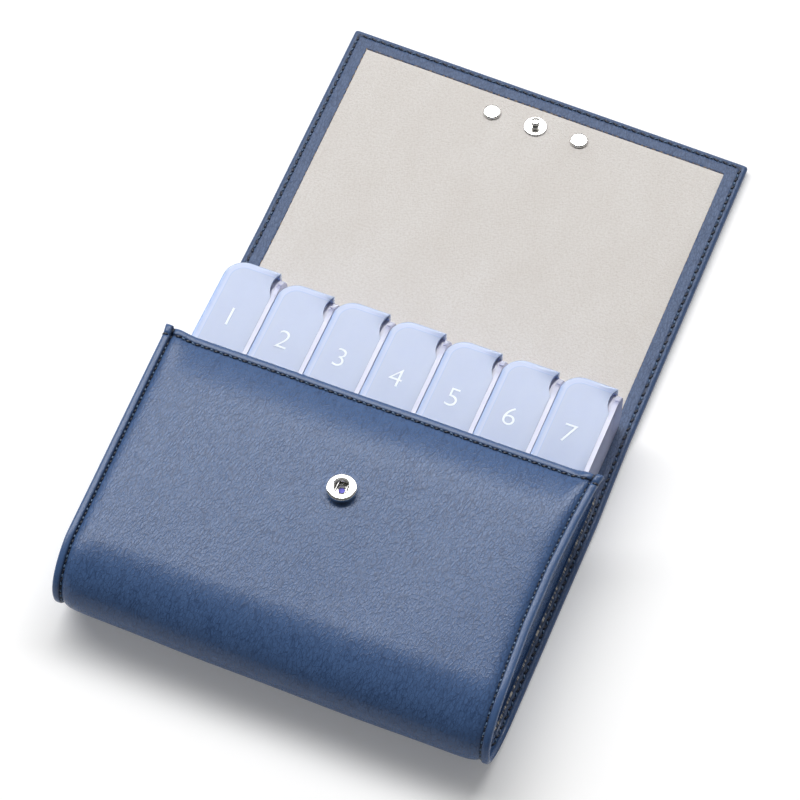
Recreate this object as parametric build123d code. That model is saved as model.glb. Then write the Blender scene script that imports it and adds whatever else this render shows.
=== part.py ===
from build123d import *
import os

# Weekly pill organizer: a leather-cloth wallet with seven day boxes.
# Millimetres. X runs across the case, Y from its bottom to the flap, Z up from the table.
# The case lies on its back with the flap opened flat, as it is filled.

# Case
case_width = 155.0
case_depth = 29.0
pocket_height = 103.0
back_rise = 39.5
skin = 1.4
board = 0.9
lining = 0.7
stack = skin + board + lining
edge_rim = 1.5
hem_width = 7.0
edge_bevel = 1.1
pick_reach = 0.2
pick_share = 0.1

# Side gussets
gusset_sheet = 1.0
gusset_inset = 0.6
gusset_fold = 2.5
gusset_rise = 8.0
gusset_clear = 0.8
roll_gap = 0.3

# Press stud and rivets
socket_radius = 5.1
socket_height = 2.6
socket_wall = 0.8
socket_plate = 0.6
socket_bore = 2.45
socket_bevel = 0.4
socket_drop = 36.5
spring_wire = 0.6
spring_gap = 2.8
eyelet_bore = 2.0
eyelet_wall = 0.35
eyelet_flange = 4.2
eyelet_plate = 0.5
stud_margin = 14.0
stud_flange_radius = 4.3
stud_flange = 0.9
stud_neck = 1.1
stud_head = 1.6
stud_head_height = 1.2
stud_shank = 1.5
stud_bevel = 0.35
snap_gap = 0.3
rivet_offset = 17.0
rivet_radius = 3.2
rivet_rim = 0.35
rivet_bevel = 0.6
rivet_shank = 1.0
head_plate = 0.8
head_radius = 3.6

# Day boxes
day_count = 7
box_gap = 0.4
box_headroom = 1.8
box_length = 124.0
box_seat = 0.5
box_rest = 0.2
box_lift = 2.6
box_lift_shares = (0.95, 0.25, 0.5, 0.5, 0.4, 0.55, 1.0)
slide_gap = 0.3
cover_wall = 1.3
cover_plate = 1.8
skirt_clear = 1.3
cover_corner = 7.5
cover_bevel = 2.2
rail = 0.8
rail_reach = 0.9
rail_drop = 4.4
notch_radius = 9.0
notch_depth = 1.6
notch_centre = 5.0
notch_length = 10.5
tray_wall = 1.5
tray_side = 1.6
tray_floor = 1.2
tray_end_round = 7.0
compartment_count = 4
partition = 1.0
scoop_round = 5.0
grip_count = 4
grip_cut = 0.45
grip_depth = 0.35
overrun = 2.0

# Places that follow from the sizes above
half_width = case_width / 2
roll_radius = case_depth / 2
spine_length = case_depth - stack + socket_height + snap_gap + stud_flange
flap_length = back_rise + socket_drop + stud_margin
total_length = pocket_height + back_rise + spine_length + flap_length
y_bottom = -total_length / 2
y_roll = y_bottom + roll_radius
y_mouth = y_bottom + pocket_height
y_root = y_mouth + back_rise
y_fold = y_root + spine_length
y_edge = y_fold + flap_length
y_socket = y_mouth - socket_drop
y_stud = y_edge - stud_margin
side_room = gusset_inset + gusset_fold + gusset_sheet + gusset_clear
box_width = (case_width - 2 * side_room - (day_count - 1) * box_gap) / day_count
box_depth = case_depth - 2 * stack - box_rest - box_headroom
box_pitch = box_width + box_gap
box_right = box_width / 2
z_box = stack + box_rest
z_box_top = z_box + box_depth

os.makedirs("parts", exist_ok=True)


def block(x0, x1, y0, y1, z0, z1):
    """Plain block between two corners."""
    solid = Box(x1 - x0, y1 - y0, z1 - z0, align=(Align.MIN, Align.MIN, Align.MIN))
    return Pos(x0, y0, z0) * solid


def turned(points):
    """Solid of revolution about Z from a closed outline of (radius, height) points."""
    face = make_face(Polyline([(r, 0, z) for r, z in points], close=True))
    return revolve(face, Axis.Z)


def across(face, x0, x1):
    """A face drawn in the YZ plane, drawn out from one X to another."""
    return Pos(x0, 0, 0) * extrude(face, x1 - x0, dir=(1, 0, 0))


def wrap_face(inset, thickness, front_end, back_end):
    """Section of one layer of the wrap: front panel, round bottom and back panel."""
    outer, inner = roll_radius - inset, roll_radius - inset - thickness
    low, high = roll_radius - outer, roll_radius + outer
    path = Line((0, back_end, low), (0, y_roll, low))
    path += ThreePointArc((0, y_roll, low), (0, y_roll - outer, roll_radius), (0, y_roll, high))
    path += Line((0, y_roll, high), (0, front_end, high))
    path += Line((0, front_end, high), (0, front_end, high - thickness))
    path += Line((0, front_end, high - thickness), (0, y_roll, high - thickness))
    path += ThreePointArc(
        (0, y_roll, high - thickness), (0, y_roll - inner, roll_radius), (0, y_roll, low + thickness)
    )
    path += Line((0, y_roll, low + thickness), (0, back_end, low + thickness))
    path += Line((0, back_end, low + thickness), (0, back_end, low))
    return make_face(path)


def both_sides(face, x0, x1):
    """The same strip at the left and right side of the case."""
    right = across(face, x0, x1)
    return right + mirror(right, Plane.YZ)


def edges_along_x(solid, y, z):
    """Straight edges across the case at one Y and Z."""
    found = solid.edges().filter_by(Axis.X).filter_by_position(Axis.Y, y - pick_reach, y + pick_reach)
    return list(found.filter_by_position(Axis.Z, z - pick_reach, z + pick_reach))


def side_edges(solid):
    """Edges of the left and right faces that run round them, but not the cut ends at the folds."""
    faces = solid.faces().filter_by(Axis.X).group_by(Axis.X)
    found = faces[0].edges() + faces[-1].edges()
    return [e for e in found if abs(e.tangent_at(0.5).Z) < 1 - pick_share or e.geom_type == GeomType.CIRCLE]


# Wrap: skin, closed mouth edge, side rims and the turned hems inside it
wrap = across(wrap_face(0, skin, y_mouth, y_root), -half_width, half_width)
rim_x = half_width - edge_rim
hem_x = half_width - hem_width
wrap += both_sides(wrap_face(skin, board, y_mouth, y_root), rim_x, half_width)
wrap += both_sides(wrap_face(skin + board, lining, y_mouth, y_root), hem_x, half_width)
wrap += block(-half_width, half_width, y_mouth - edge_rim, y_mouth, case_depth - stack, case_depth)
wrap -= Pos(0, y_socket, 0) * Cylinder(
    eyelet_bore + eyelet_wall, case_depth + overrun, align=(Align.CENTER, Align.CENTER, Align.MIN)
) - block(-half_width, half_width, y_bottom, y_edge, 0, roll_radius)
mouth_edges = edges_along_x(wrap, y_mouth, case_depth) + edges_along_x(wrap, y_mouth, case_depth - stack)
outer_wrap = chamfer(mouth_edges + side_edges(wrap), edge_bevel)

# Boards in the two flat panels
board_x = half_width - edge_rim
front_board = block(-board_x, board_x, y_roll, y_mouth - edge_rim, case_depth - skin - board, case_depth - skin)
front_board -= Pos(0, y_socket, case_depth - stack) * Cylinder(eyelet_bore + eyelet_wall, case_depth)
back_board = block(-board_x, board_x, y_roll, y_root, skin, skin + board)

# Lining of the pocket, between the hems
pocket_lining = across(wrap_face(skin + board, lining, y_mouth - edge_rim, y_root), -hem_x, hem_x)
pocket_lining -= Pos(0, y_socket, case_depth) * Cylinder(eyelet_bore + eyelet_wall, roll_radius)

# Gussets: a folded strip from panel to panel, cut to the side view of the pocket
gusset_out = half_width - gusset_inset
z_low, z_high = stack, case_depth - stack
fold = [
    (gusset_out, z_low),
    (gusset_out - gusset_fold, roll_radius),
    (gusset_out, z_high),
    (gusset_out - gusset_sheet, z_high),
    (gusset_out - gusset_fold - gusset_sheet, roll_radius),
    (gusset_out - gusset_sheet, z_low),
]
strip = make_face(Polyline([(x, y_bottom, z) for x, z in fold], close=True))
strip = extrude(strip, total_length, dir=(0, 1, 0))
inner_roll = roll_radius - stack - roll_gap
side = Line((0, y_roll, z_low + roll_gap), (0, y_roll, z_low))
side += Line((0, y_roll, z_low), (0, y_mouth + gusset_rise, z_low))
side += Line((0, y_mouth + gusset_rise, z_low), (0, y_mouth - edge_rim, z_high))
side += Line((0, y_mouth - edge_rim, z_high), (0, y_roll, z_high))
side += Line((0, y_roll, z_high), (0, y_roll, z_high - roll_gap))
side += ThreePointArc(
    (0, y_roll, roll_radius + inner_roll), (0, y_roll - inner_roll, roll_radius), (0, y_roll, roll_radius - inner_roll)
)
gusset_right = strip & across(make_face(side), 0, half_width)
gusset_left = mirror(gusset_right, Plane.YZ)

# Press-stud socket: base plate, outer wall and top ring round a hollow that holds the springs
hollow = socket_radius - socket_wall
ring_top = socket_height - socket_plate
socket = turned([
    (eyelet_bore, 0),
    (socket_radius, 0),
    (socket_radius, socket_height - socket_bevel),
    (socket_radius - socket_bevel, socket_height),
    (socket_bore + socket_bevel, socket_height),
    (socket_bore, socket_height - socket_bevel),
    (socket_bore, ring_top),
    (hollow, ring_top),
    (hollow, socket_plate),
    (eyelet_bore, socket_plate),
])
socket_place = Pos(0, y_socket, case_depth)
snap_socket = socket_place * socket
spring_x = spring_gap / 2 + spring_wire / 2
spring_z = ring_top - spring_wire / 2
spring_length = 2 * (hollow**2 - (spring_x + spring_wire / 2) ** 2) ** 0.5 - snap_gap
spring = Rot(90, 0, 0) * Cylinder(spring_wire / 2, spring_length)
socket_springs = Compound([socket_place * (Pos(x, 0, spring_z) * spring) for x in (-spring_x, spring_x)])
eyelet = turned([
    (eyelet_bore, -stack - eyelet_plate),
    (eyelet_flange, -stack - eyelet_plate),
    (eyelet_flange, -stack),
    (eyelet_bore + eyelet_wall, -stack),
    (eyelet_bore + eyelet_wall, 0),
    (eyelet_bore, 0),
])
socket_eyelet = socket_place * eyelet


def panel(y0, y1, closed_end):
    """One flat stretch of the flap: skin with turned hems, board and lining."""
    end = y1 - edge_rim if closed_end else y1
    hem_end = y1 - hem_width if closed_end else y1
    shell = block(-half_width, half_width, y0, y1, 0, stack)
    shell -= block(-board_x, board_x, y0, end, skin, skin + board)
    shell -= block(-hem_x, hem_x, y0, hem_end, skin + board, stack)
    stiffener = block(-board_x, board_x, y0, end, skin, skin + board)
    cloth = block(-hem_x, hem_x, y0, hem_end, skin + board, stack)
    return shell, stiffener, cloth


# Spine of the flap
spine_skin, spine_board, spine_lining = panel(y_root, y_fold, False)
spine_skin = chamfer(side_edges(spine_skin), edge_bevel)

# Flap panel, with holes for the stud and the rivets
flap_skin, flap_board, flap_lining = panel(y_fold, y_edge, True)
far_edges = edges_along_x(flap_skin, y_edge, 0) + edges_along_x(flap_skin, y_edge, stack)
flap_skin = chamfer(far_edges + side_edges(flap_skin), edge_bevel)
fasteners = ((0, stud_shank), (-rivet_offset, rivet_shank), (rivet_offset, rivet_shank))
for x, shank in fasteners:
    seat = Pos(x, y_stud, 0) * Cylinder(head_radius, head_plate, align=(Align.CENTER, Align.CENTER, Align.MIN))
    hole = Pos(x, y_stud, stack / 2) * Cylinder(shank, stack + overrun)
    flap_skin = flap_skin - hole - seat
    flap_board = flap_board - hole
    flap_lining = flap_lining - hole

# Stud, its outside cap, and the two rivets
neck_length = socket_height + snap_gap - (ring_top - spring_wire) + snap_gap
stud_z = stack + stud_flange
neck_top = stud_z + neck_length
stud_top = neck_top + stud_head_height
stud = turned([
    (0, stack),
    (stud_flange_radius, stack),
    (stud_flange_radius, stud_z - stud_bevel),
    (stud_flange_radius - stud_bevel, stud_z),
    (stud_neck, stud_z),
    (stud_neck, neck_top),
    (stud_head, neck_top + stud_bevel),
    (stud_head, stud_top - stud_bevel),
    (stud_head - stud_bevel, stud_top),
    (0, stud_top),
])
snap_stud = Pos(0, y_stud, 0) * stud


def post(shank):
    """Outside half of a fastener: a flush head and the shank through the flap."""
    return turned([(0, 0), (head_radius, 0), (head_radius, head_plate), (shank, head_plate), (shank, stack), (0, stack)])


stud_cap = Pos(0, y_stud, 0) * post(stud_shank)
rivet_places = [Pos(x, y_stud, 0) for x in (-rivet_offset, rivet_offset)]
cap = turned([
    (0, stack),
    (rivet_radius, stack),
    (rivet_radius, stack + rivet_rim),
    (rivet_radius - rivet_bevel, stack + rivet_rim + rivet_bevel),
    (0, stack + rivet_rim + rivet_bevel),
])
rivet_caps = Compound([place * cap for place in rivet_places])
rivet_posts = Compound([place * post(rivet_shank) for place in rivet_places])

# Tray of a day box, with its top end at y = 0 and its middle at x = 0
tray_left = -box_right + cover_wall + slide_gap
tray_end = -cover_wall - slide_gap
tray_top = z_box_top - cover_plate - slide_gap
side_x = box_right - tray_side
tray = block(tray_left, box_right, -box_length, tray_end, z_box, tray_top)
corner_round = cover_corner - cover_wall - slide_gap
corner = tray.edges().filter_by(Axis.Z).filter_by_position(Axis.X, tray_left, tray_left).sort_by(Axis.Y)[-1]
tray = fillet(corner, corner_round)
cavity_span = box_length + tray_end - 2 * tray_wall
cavity_length = (cavity_span - (compartment_count - 1) * partition) / compartment_count
floor_z = z_box + tray_floor
for i in range(compartment_count):
    y0 = -box_length + tray_wall + i * (cavity_length + partition)
    cavity = block(tray_left + tray_wall, side_x, y0, y0 + cavity_length, floor_z, tray_top + overrun)
    scoop = cavity.edges().filter_by(Axis.X).group_by(Axis.Z)[0].sort_by(Axis.Y)[0]
    tray -= fillet(scoop, scoop_round)
plate_right = side_x - slide_gap
pad_left = plate_right - notch_depth - slide_gap
tray += block(pad_left, side_x, -notch_length - slide_gap, tray_end, z_box, tray_top)
side_wall = block(side_x, box_right, -box_length, 0, z_box, z_box_top)
side_ends = side_wall.edges().filter_by(Axis.X).group_by(Axis.Y)[-1]
tray += fillet(side_ends, tray_end_round)
rail_z = z_box_top - cover_plate
groove = rail + 2 * slide_gap
tray -= block(side_x, side_x + rail_reach + slide_gap, -box_length - overrun, overrun, tray_top, tray_top + groove)
left_rail_z = rail_z - rail_drop - rail
tray -= block(
    tray_left,
    tray_left + rail_reach,
    -box_length - overrun,
    overrun,
    left_rail_z - slide_gap,
    left_rail_z + rail + slide_gap,
)
grip = Pos(0, tray_end_round, 0) * Box(case_width, grip_depth * 2, grip_cut)
grip_axis = Pos(0, -tray_end_round, z_box_top - tray_end_round)
for i in range(grip_count):
    turn = 90 * (i + 1) / (grip_count + 1)
    tray -= grip_axis * (Rot(turn, 0, 0) * grip)

# Cover of a day box: front plate, left wall and top end, with the thumb notch at the top right
skirt_z = stud_top + skirt_clear
cover = block(-box_right, plate_right, -box_length, 0, skirt_z, z_box_top)
corner = cover.edges().filter_by(Axis.Z).filter_by_position(Axis.X, -box_right, -box_right).sort_by(Axis.Y)[-1]
cover = fillet(corner, cover_corner)
front_edges = cover.edges().group_by(Axis.Z)[-1]
bevelled = [e for e in front_edges if e.center().X < plate_right - slide_gap and e.center().Y > -box_length + slide_gap]
cover = chamfer(bevelled, cover_bevel)
inside = block(-box_right + cover_wall, box_right, -box_length - overrun, -cover_wall, skirt_z - overrun, rail_z)
corner = inside.edges().filter_by(Axis.Z).filter_by_position(
    Axis.X, -box_right + cover_wall, -box_right + cover_wall
).sort_by(Axis.Y)[-1]
cover -= fillet(corner, cover_corner - cover_wall)
tongue = block(plate_right, plate_right + rail_reach, -box_length, -notch_length, rail_z, rail_z + rail)
rib_x = -box_right + cover_wall
rib = block(rib_x, rib_x + rail_reach, -box_length, -cover_corner, left_rail_z, left_rail_z + rail)
cover = cover + tongue + rib
notch = Pos(plate_right - notch_depth + notch_radius, -notch_centre, z_box) * Cylinder(
    notch_radius, box_depth + overrun, align=(Align.CENTER, Align.CENTER, Align.MIN)
)
notch &= block(0, case_width, -notch_length, overrun, z_box, z_box_top + overrun)
cover -= notch

# Everything by name, one file each
pieces = {
    "outer_wrap": outer_wrap,
    "front_board": front_board,
    "back_board": back_board,
    "pocket_lining": pocket_lining,
    "gusset_left": gusset_left,
    "gusset_right": gusset_right,
    "snap_socket": snap_socket,
    "socket_springs": socket_springs,
    "socket_eyelet": socket_eyelet,
    "spine_skin": spine_skin,
    "spine_board": spine_board,
    "spine_lining": spine_lining,
    "flap_skin": flap_skin,
    "flap_board": flap_board,
    "flap_lining": flap_lining,
    "snap_stud": snap_stud,
    "stud_cap": stud_cap,
    "rivet_caps": rivet_caps,
    "rivet_posts": rivet_posts,
}
for i in range(day_count):
    x = (i - (day_count - 1) / 2) * box_pitch
    y = y_roll + box_seat + box_length + box_lift * box_lift_shares[i]
    pieces[f"tray_{i + 1}"] = Pos(x, y, 0) * tray
    pieces[f"cover_{i + 1}"] = Pos(x, y, 0) * cover
for name, solid in pieces.items():
    export_step(solid, f"parts/{name}.step")
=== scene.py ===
import math

import bpy
import numpy as np
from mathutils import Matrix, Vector


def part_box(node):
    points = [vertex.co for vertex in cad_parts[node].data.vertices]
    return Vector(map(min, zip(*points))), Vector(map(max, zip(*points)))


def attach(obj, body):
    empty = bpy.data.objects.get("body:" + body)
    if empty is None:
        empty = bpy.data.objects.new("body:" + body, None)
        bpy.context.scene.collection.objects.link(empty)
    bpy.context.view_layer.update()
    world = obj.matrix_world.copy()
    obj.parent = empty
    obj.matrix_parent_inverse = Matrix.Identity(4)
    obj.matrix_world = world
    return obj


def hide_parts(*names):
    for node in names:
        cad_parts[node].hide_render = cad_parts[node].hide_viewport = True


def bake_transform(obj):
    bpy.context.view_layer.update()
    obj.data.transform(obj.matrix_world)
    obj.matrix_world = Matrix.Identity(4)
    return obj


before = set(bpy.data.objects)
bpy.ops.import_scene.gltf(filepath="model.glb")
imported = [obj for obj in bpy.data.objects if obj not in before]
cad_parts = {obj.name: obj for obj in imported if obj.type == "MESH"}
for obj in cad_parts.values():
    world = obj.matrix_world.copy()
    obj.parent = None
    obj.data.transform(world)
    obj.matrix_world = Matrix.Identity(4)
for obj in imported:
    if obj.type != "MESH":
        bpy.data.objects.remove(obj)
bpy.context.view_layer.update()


# ---------------------------------------------------------------------------
# Case wrap. One long piece of navy leather cloth, pressed with a fine grain and
# stiffened with board. It makes the front, rolls round the bottom and runs up the
# back. Its sides are turned into a raised welt and its mouth into a rolled lip.

MM = 0.001


def cad_box(name):
    """Low and high corners of a piece's solid, in millimetres."""
    return np.array(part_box(name)) / MM


wrap_low, wrap_high = cad_box("outer_wrap")
spine_low, spine_high = cad_box("spine_skin")
stud_low, stud_high = cad_box("snap_stud")
stud_y = (stud_low[1] + stud_high[1]) / 2
socket_y = cad_box("snap_socket")[:, 1].mean()
fastener_x = np.array([-17.0, 0.0, 17.0])

roll_radius = wrap_high[2] / 2
roll_deep = 22.5
roll_bulge = 1.5
roll_lean = 0.7
lip_over_board = 4.3
crease_margin = 8.0
y_roll = wrap_low[1] - roll_bulge + roll_deep
y_mouth = cad_box("front_board")[1, 1] + lip_over_board
y_root, y_fold, y_edge = spine_low[1], spine_high[1], cad_box("flap_skin")[1, 1]

front_run = y_mouth - y_roll
roll_run = math.pi * math.sqrt((roll_radius**2 + roll_deep**2) / 2)
back_start = front_run + roll_run
flap_end = back_start + y_edge - y_roll

welt_width = 2.9
welt_rise = 1.5
welt_drop = 2.0
lip_width = 2.9
lip_rise = 0.6
lip_drop = 0.95
ear_reach = 0.5
ear_rise = 0.4
ear_seam = 4.1
mouth_sink = 2.6
middle_sink = 0.7
sink_run = 13.0
side_fall = 0.8
seam_valley = 1.9
lip_valley = 0.8
turned_hem = 7.0
hem_seam = 2.3
hem_groove = 0.5
leather_thick = 3.1
board_face = 2.5
flap_skew = 0.026
flap_corner = 1.2


def at_back(y):
    """Length along the path of a place on the back, the spine or the flap."""
    return back_start + y - y_roll


case_seam = at_back(y_root - crease_margin)
flap_seam = at_back(y_fold + crease_margin)


def smooth(t):
    """Smooth step from 0 to 1."""
    t = np.clip(t, 0, 1)
    return t * t * (3 - 2 * t)


def bell(t, width):
    """Bell curve, 1 in the middle: e to the power of minus the square of t over its width."""
    return np.exp(-((t / width) ** 2))


def rounded(t, run):
    """Quarter circle: rises from 0 at the edge to 1 at that distance from it."""
    return np.sqrt(1 - np.clip(1 - t / run, 0, 1) ** 2)


def ridge(t, width, height):
    """Rounded ridge of that width and height, standing on the stretch from 0 to width: a superellipse
    of the third power, flatter on top than half an ellipse."""
    return height * np.cbrt(np.clip(1 - np.abs(2 * t / width - 1) ** 3, 0, 1))


def place(x, s, off):
    """Point at x across and length s from the mouth, off above the outside of the path: straight
    down the front, half an ellipse round the bottom, straight up the back, the spine and the flap,
    whose far edge lies a little askew. Returns the point and the outward direction."""
    a = np.clip((s - front_run) / roll_run, 0, 1) * np.pi
    bulge = roll_deep + roll_lean * x / 77
    y = y_roll + np.maximum(front_run - s, 0) - bulge * np.sin(a) + np.maximum(s - back_start, 0)
    z = roll_radius * (1 + np.cos(a))
    askew = (1.0 - flap_skew * x) * smooth((s - flap_seam) / (flap_end - flap_seam))
    ny, nz = -np.sin(a) * roll_radius, np.cos(a) * bulge
    size = np.hypot(ny, nz)
    ny, nz = ny / size, nz / size
    point = np.stack(np.broadcast_arrays(x, y + askew + ny * off, z + nz * off), -1)
    return point, np.stack(np.broadcast_arrays(0.0 * x, ny, nz), -1)


def corner_trim(s):
    """Change of reach at the ends: ears at the mouth, and small quarter circles at the flap's corners."""
    left = np.clip(flap_corner - (flap_end - s), 0, flap_corner)
    return ear_reach * bell(s, 3.0) - (flap_corner - np.sqrt(flap_corner**2 - left**2))


def left_reach(s):
    """How far the left edge lies from the middle: the filled pocket spreads at its mouth."""
    stations = [
        0, 88, front_run + 0.5 * roll_run, back_start,
        at_back(-75), at_back(-30), case_seam, at_back(y_fold), flap_end,
    ]
    reach = [81.4, 78.6, 76.4, 76.6, 78.0, 77.0, 76.0, 76.2, 78.0]
    return np.interp(s, stations, reach) + corner_trim(s)


def right_reach(s):
    """How far the right edge lies from the middle: it draws in below the mouth and spreads at the roll."""
    stations = [
        0, 20, 40, 62, 73, 84, 94, front_run + 0.5 * roll_run, back_start,
        at_back(-75), at_back(-30), case_seam, flap_end,
    ]
    reach = [78.1, 76.6, 75.8, 76.0, 76.6, 77.2, 77.8, 79.2, 79.3, 79.2, 79.2, 78.3, 77.9]
    return np.interp(s, stations, reach) + corner_trim(s)


def edge_gap(x, s):
    """Distance in from the nearer side edge."""
    return np.minimum(left_reach(s) + x, right_reach(s) - x)


def on_front(s):
    """Share of the front's form: whole on the front and the roll, none on the back."""
    return 1 - smooth((s - back_start + 6) / 26)


def slack(x, s):
    """Soft unevenness of the filled front: it sinks to the sides with the fourth power of the
    width, sinks to the boxes at the mouth as a bell curve, most in the middle and not at the
    welts, and waves by a tenth of a millimetre, but not round the fastener."""
    near = 1 - np.exp(-(x**2 + (y_mouth - socket_y - s) ** 2) / 200)
    wave = 0.16 * np.sin(x / 15 + 1.3) * np.sin(s / 19 + 0.4) + 0.1 * np.sin(x / 8.3 + s / 27)
    sink = (mouth_sink + middle_sink * np.cos(x / 50)) * bell(s, sink_run)
    return -side_fall * (x / 79) ** 4 - sink * smooth((edge_gap(x, s) - 2.5) / 9) + near * wave


def rivet_dents(x, s):
    """Round dents of the underside where the rivet heads and the stud cap sit."""
    y = y_roll + s - back_start
    return sum(bell((x - fx) ** 2 + (y - stud_y) ** 2, 36) for fx in fastener_x)


def outside(x, s):
    """Height of the outer face over the path: a ridge for the welt at the sides, a valley at the
    seam, a panel that swells from it, and a ridge for the lip at the mouth. On the back it is
    flat, with a groove along the seam."""
    d = edge_gap(x, s)
    welt = ridge(d, welt_width, welt_rise + ear_rise * bell(s, 3.5))
    welt = -welt_drop + welt - 0.5 * bell(s - ear_seam, 0.55)
    swell = -seam_valley * np.exp(-np.maximum(d - welt_width, 0) / 2.0)
    lip = -lip_drop + ridge(s, lip_width, lip_rise)
    dip = -lip_valley * np.exp(-np.maximum(s - lip_width, 0) / 2.2)
    front = np.where(d < welt_width, welt, swell + np.where(s < lip_width, lip, dip)) + slack(x, s)
    edge = np.minimum(d, flap_end - s)
    back = -0.06 - 0.28 * bell(edge - hem_seam, hem_groove) - 0.42 * rivet_dents(x, s)
    back = back - 1.5 * (1 - rounded(d, 1.5))
    return back + (front - back) * on_front(s)


def inside(x, s):
    """Height of the inner face over the path: the turned hem round the edges stands a little
    over the lining between, a groove follows the seam, and the front keeps its thickness."""
    d = edge_gap(x, s)
    edge = np.minimum(d, flap_end - s)
    hem = leather_thick - 0.25 * bell(edge - hem_seam, hem_groove)
    deep = hem + (board_face - hem) * np.clip((edge - turned_hem) / 0.3, 0, 1)
    deep = deep - 1.35 * (1 - rounded(d, 1.4))
    return np.minimum(-deep, outside(x, s) - 0.6)


def sheet_rings(lengths, insets, top, bottom):
    """Closed rings across a sheet, one at each length: the top face from left to right, then the
    bottom face back, both drawn to their mean in a half circle where the sheet ends. Insets count
    millimetres from the edge to 14, then shares of the way to the middle. Returns the points, the
    flat (across, along) place of each, and their edge distance."""
    s = lengths[:, None]
    reach = insets[None, :]
    left, right = left_reach(s), right_reach(s)
    from_left = np.where(reach <= 14, reach, 14 + (left - 14) * (reach - 14)) - left
    from_right = right - np.where(reach <= 14, reach, 14 + (right - 14) * (reach - 14))
    across = np.concatenate([from_left, from_right[:, -2::-1]], 1)
    back = across[:, -2:0:-1]
    half = rounded(np.minimum(s, flap_end - s), 1.6) / 2
    high = top(across, s) * (0.5 + half) + bottom(across, s) * (0.5 - half)
    low = bottom(back, s) * (0.5 + half) + top(back, s) * (0.5 - half)
    across = np.concatenate([across, back], 1)
    s = np.broadcast_to(s, across.shape)
    points, _ = place(across, s, np.concatenate([high, low], 1))
    return points, np.stack([across, s], -1), edge_gap(across, s)


def wall_faces(rows, ring):
    """Quads between neighbouring closed rings, each as four point numbers."""
    r, c = np.meshgrid(np.arange(rows - 1), np.arange(ring), indexing="ij")
    n = (c + 1) % ring
    quads = [r * ring + c, r * ring + n, (r + 1) * ring + n, (r + 1) * ring + c]
    return np.stack(quads, -1).reshape(-1, 4)


def ring_faces(rows, ring):
    """Walls between the rings, and strips that close the first and last ring."""
    half = ring // 2 + 1
    i = np.arange(1, half - 2)
    strip = np.stack([i, i + 1, ring - i - 1, ring - i], -1)
    tips = np.array([[0, 1, ring - 1], [half - 2, half - 1, half]])
    last = (rows - 1) * ring
    ends = strip[:, ::-1].tolist() + tips[:, ::-1].tolist() + (strip + last).tolist() + (tips + last).tolist()
    return wall_faces(rows, ring).tolist() + ends


def put(name, data):
    """Object at the origin with that mesh, lamp, curve or camera, in the scene."""
    piece = bpy.data.objects.new(name, data)
    bpy.context.scene.collection.objects.link(piece)
    return piece


def make_piece(name, points, faces, flat=None, marks=None):
    """Mesh object at the origin from points in millimetres, with an optional flat map (100 mm to
    one unit) and named marks per point. Edges sharper than 45 degrees stay sharp."""
    points = np.asarray(points, float).reshape(-1, 3) * MM
    mesh = bpy.data.meshes.new(name)
    mesh.from_pydata(points.tolist(), [], faces)
    mesh.polygons.foreach_set("use_smooth", np.ones(len(mesh.polygons), bool))
    if flat is not None:
        corner = np.zeros(len(mesh.loops), np.int32)
        mesh.loops.foreach_get("vertex_index", corner)
        layer = mesh.uv_layers.new(name="flat")
        spread = np.asarray(flat).reshape(-1, 2)[corner] / 100
        layer.data.foreach_set("uv", spread.astype(np.float32).ravel())
    for label, values in (marks or {}).items():
        layer = mesh.attributes.new(label, "FLOAT", "POINT")
        layer.data.foreach_set("value", np.asarray(values, np.float32).ravel())
    mesh.update()
    mesh.set_sharp_from_angle(angle=math.radians(45))
    return put(name, mesh)


def dress(piece, finish):
    """Gives a piece its finish."""
    piece.data.materials.append(finish)
    return piece


def feed(tree, made, **inputs):
    """Sets or links a node's sockets. A key is the socket's name, with underscores for blanks, or i
    and its number. A key with a trailing underscore sets a property of the node."""
    for key, value in inputs.items():
        if key.endswith("_"):
            setattr(made, key[:-1], value)
            continue
        numbered = key[0] == "i" and key[1:].isdigit()
        socket = made.inputs[int(key[1:]) if numbered else key.replace("_", " ")]
        if isinstance(value, bpy.types.NodeSocket):
            tree.links.new(value, socket)
        else:
            socket.default_value = value
    return made


def node(tree, kind, **inputs):
    """New shader node with its sockets set or linked."""
    return feed(tree, tree.nodes.new(kind), **inputs)


def flat_map(tree):
    """Places on the flat cut of a piece, 100 mm to one unit."""
    return node(tree, "ShaderNodeUVMap", uv_map_="flat").outputs[0]


def in_space(tree):
    """Places in metres in the piece's own space."""
    return node(tree, "ShaderNodeTexCoord").outputs["Object"]


def mark(tree, name):
    """Value of a mark that is written on the piece's points."""
    return node(tree, "ShaderNodeAttribute", attribute_name_=name).outputs["Fac"]


def stretched(tree, where, scale=(1.0, 1.0, 1.0), turn=0.0):
    """Places scaled, or turned about the upright axis."""
    return node(tree, "ShaderNodeMapping", Vector=where, Scale=scale, Rotation=(0, 0, turn)).outputs[0]


def noise(tree, where, scale, detail=2.0, rough=0.5):
    """Cloudy noise between 0 and 1."""
    return node(tree, "ShaderNodeTexNoise", Vector=where, Scale=scale, Detail=detail, Roughness=rough).outputs[0]


def maths(tree, kind, *values):
    """Plain operation on two or three values."""
    return node(tree, "ShaderNodeMath", operation_=kind, **{f"i{k}": v for k, v in enumerate(values)}).outputs[0]


def ranged(tree, value, low=0.0, high=1.0, start=0.0, end=1.0, curve="LINEAR"):
    """Value carried from the range low to high into the range start to end."""
    moved = node(tree, "ShaderNodeMapRange", interpolation_type_=curve, i0=value, i1=low, i2=high, i3=start, i4=end)
    return moved.outputs[0]


def mixed(tree, share, first, second):
    """Number between two others, at that share of the way."""
    return node(tree, "ShaderNodeMix", data_type_="FLOAT", i0=share, i2=first, i3=second).outputs[0]


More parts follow.
